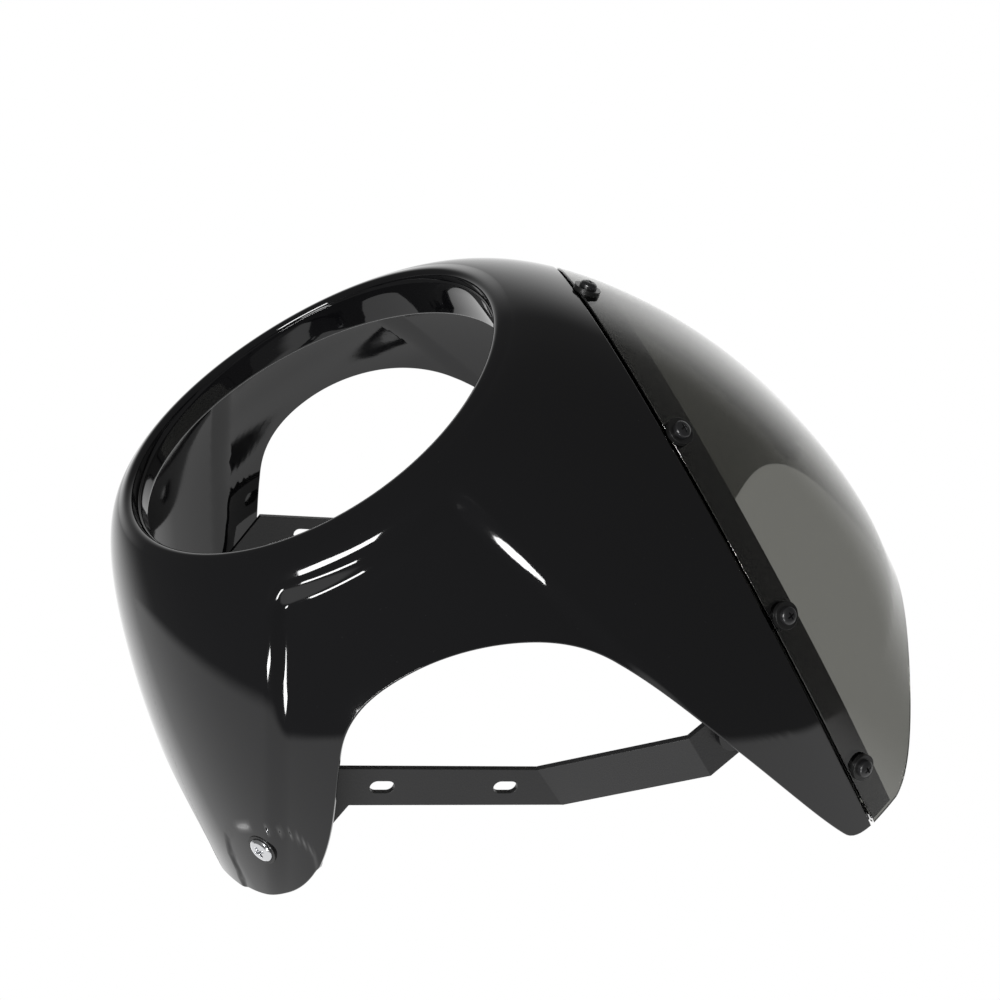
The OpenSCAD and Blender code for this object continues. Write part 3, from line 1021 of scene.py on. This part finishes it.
@dataclass
class Hardware:
    """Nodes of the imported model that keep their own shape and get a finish."""

    slots: dict[str, str]

    def dress(self, nodes: dict[str, bpy.types.Object], shop: Workshop) -> None:
        """Dresses the nodes.

        Args:
            nodes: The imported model's objects.
            shop: Holds the finishes.
        """
        for name, slot in self.slots.items():
            shop.dress(nodes[name], slot)
            LOG.info("%s wears %s", name, slot)


@dataclass(frozen=True)
class Lamp:
    """Soft area lamp: its place, the point it faces, its width and height, in metres, and its watts."""

    name: str
    at: tuple[float, float, float]
    towards: tuple[float, float, float]
    size: tuple[float, float]
    power: float


@dataclass
class Studio:
    """Camera, white background, reflected surroundings and soft lamps."""

    eye: tuple[float, float, float] = (703.3, -360.7, 80.1)
    right: tuple[float, float, float] = (0.248, 0.441, 0.862)
    up: tuple[float, float, float] = (-0.484, -0.715, 0.505)
    focal_px: float = 1770.0
    frame_px: float = 1000.0
    sensor_mm: float = 36.0
    surroundings: float = 0.14
    behind: tuple[float, float] = (0.3, 0.85)
    table_way: tuple[float, float, float] = (0.0, 0.903, -0.429)
    table: tuple[float, float] = (0.34, 0.42)
    behind_level: float = 1.15
    table_level: float = 0.75
    clip: tuple[float, float] = (0.01, 50.0)
    lamp_side: tuple[float, float, float] = (0.1, 0.2, 1.0)
    lamps: tuple[Lamp, ...] = (
        Lamp("crease_strip", (0.84, -0.71, -0.35), (0.105, 0.008, -0.013), (0.3, 0.62), 14.0),
        Lamp("side_strip", (1.1, 0.07, -0.53), (0.106, 0.05, -0.06), (0.1, 0.5), 4.0))

    def camera(self) -> None:
        """Places the camera at the photograph's view."""
        x = unit(np.array(self.right))
        up = np.array(self.up)
        y = unit(up - (up @ x) * x)
        m = np.eye(4)
        m[:3, :3] = np.stack([x, y, np.cross(x, y)], -1)
        m[:3, 3] = np.array(self.eye) * MM
        data = bpy.data.cameras.new("camera")
        data.sensor_width = self.sensor_mm
        data.lens = self.sensor_mm * self.focal_px / self.frame_px
        data.clip_start, data.clip_end = self.clip
        camera = bpy.data.objects.new("camera", data)
        camera.matrix_world = Matrix(m.tolist())
        bpy.context.scene.collection.objects.link(camera)
        bpy.context.scene.camera = camera

    def world(self) -> None:
        """White behind the object and through its screen; reflections see a bright table and a dim room."""
        world = bpy.data.worlds.new("studio")
        bpy.context.scene.world = world
        world.use_nodes = True
        tree = world.node_tree
        put, link = tree.nodes.new, tree.links.new
        path = put("ShaderNodeLightPath")
        either = put("ShaderNodeMath")
        either.operation = "MAXIMUM"
        link(path.outputs[Ray.CAMERA.value], either.inputs[0])
        link(path.outputs[Ray.TRANSMISSION.value], either.inputs[1])
        place = put("ShaderNodeTexCoord")
        away = -np.cross(unit(np.array(self.right)), unit(np.array(self.up)))
        seen = []
        for way, start, end, top in ((away, *self.behind, self.behind_level),
                                     (np.array(self.table_way), *self.table, self.table_level)):
            dot = put("ShaderNodeVectorMath")
            dot.operation = "DOT_PRODUCT"
            dot.inputs[1].default_value = unit(way)
            link(place.outputs["Generated"], dot.inputs[0])
            spread = put("ShaderNodeMapRange")
            spread.interpolation_type = "SMOOTHSTEP"
            spread.inputs["From Min"].default_value = start
            spread.inputs["From Max"].default_value = end
            spread.inputs["To Min"].default_value = self.surroundings
            spread.inputs["To Max"].default_value = top
            link(dot.outputs["Value"], spread.inputs["Value"])
            seen.append(spread.outputs["Result"])
        brighter = put("ShaderNodeMath")
        brighter.operation = "MAXIMUM"
        link(seen[0], brighter.inputs[0])
        link(seen[1], brighter.inputs[1])
        gray = put("ShaderNodeCombineColor")
        for channel in ("Red", "Green", "Blue"):
            link(brighter.outputs[0], gray.inputs[channel])
        mix = put("ShaderNodeMix")
        mix.data_type = "RGBA"
        mix.inputs["B"].default_value = (1, 1, 1, 1)
        link(gray.outputs["Color"], mix.inputs["A"])
        link(either.outputs[0], mix.inputs["Factor"])
        link(mix.outputs["Result"], tree.nodes["Background"].inputs["Color"])

    def light(self, lamp: Lamp) -> None:
        """Adds a soft area lamp.

        Args:
            lamp: What it is and where it stands.
        """
        data = bpy.data.lights.new(lamp.name, "AREA")
        data.shape = "RECTANGLE"
        data.size, data.size_y = lamp.size
        data.energy = lamp.power
        light = bpy.data.objects.new(lamp.name, data)
        z = unit(np.array(lamp.at, float) - np.array(lamp.towards, float))
        x = unit(np.cross(self.lamp_side, z))
        m = np.eye(4)
        m[:3, :3] = np.stack([x, np.cross(z, x), z], -1)
        m[:3, 3] = lamp.at
        light.matrix_world = Matrix(m.tolist())
        bpy.context.scene.collection.objects.link(light)

    def build(self) -> None:
        """Sets up the whole studio."""
        bpy.context.scene.view_settings.view_transform = "Standard"
        self.camera()
        self.world()
        for lamp in self.lamps:
            self.light(lamp)


def main() -> None:
    """Builds the pieces in order."""
    logging.basicConfig(level=logging.INFO, format="%(name)s: %(message)s")
    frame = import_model()
    shop = Workshop()
    skin, cuts = Skin(), Cuts()
    Shell(skin, cuts).build(shop)
    ScreenAndFlange(skin, cuts).build(shop)
    Bosses(skin).build(shop)
    Hardware({
        "screen_screws": "black_screw", "screen_washers": "black_washer", "screen_backing_washers": "plated",
        "screen_nuts": "plated", "bracket_left": "bracket", "bracket_right": "bracket",
        "bracket_screws": "bright_screw", "bracket_screw_rings": "black_washer", "bracket_washers": "plated",
        "bracket_nuts": "plated", "stay_inserts": "insert", "stay_screws": "plated", "stay_washers": "plated",
    }).dress(frame["nodes"], shop)
    Studio().build()


if __name__ == "__main__":
    main()
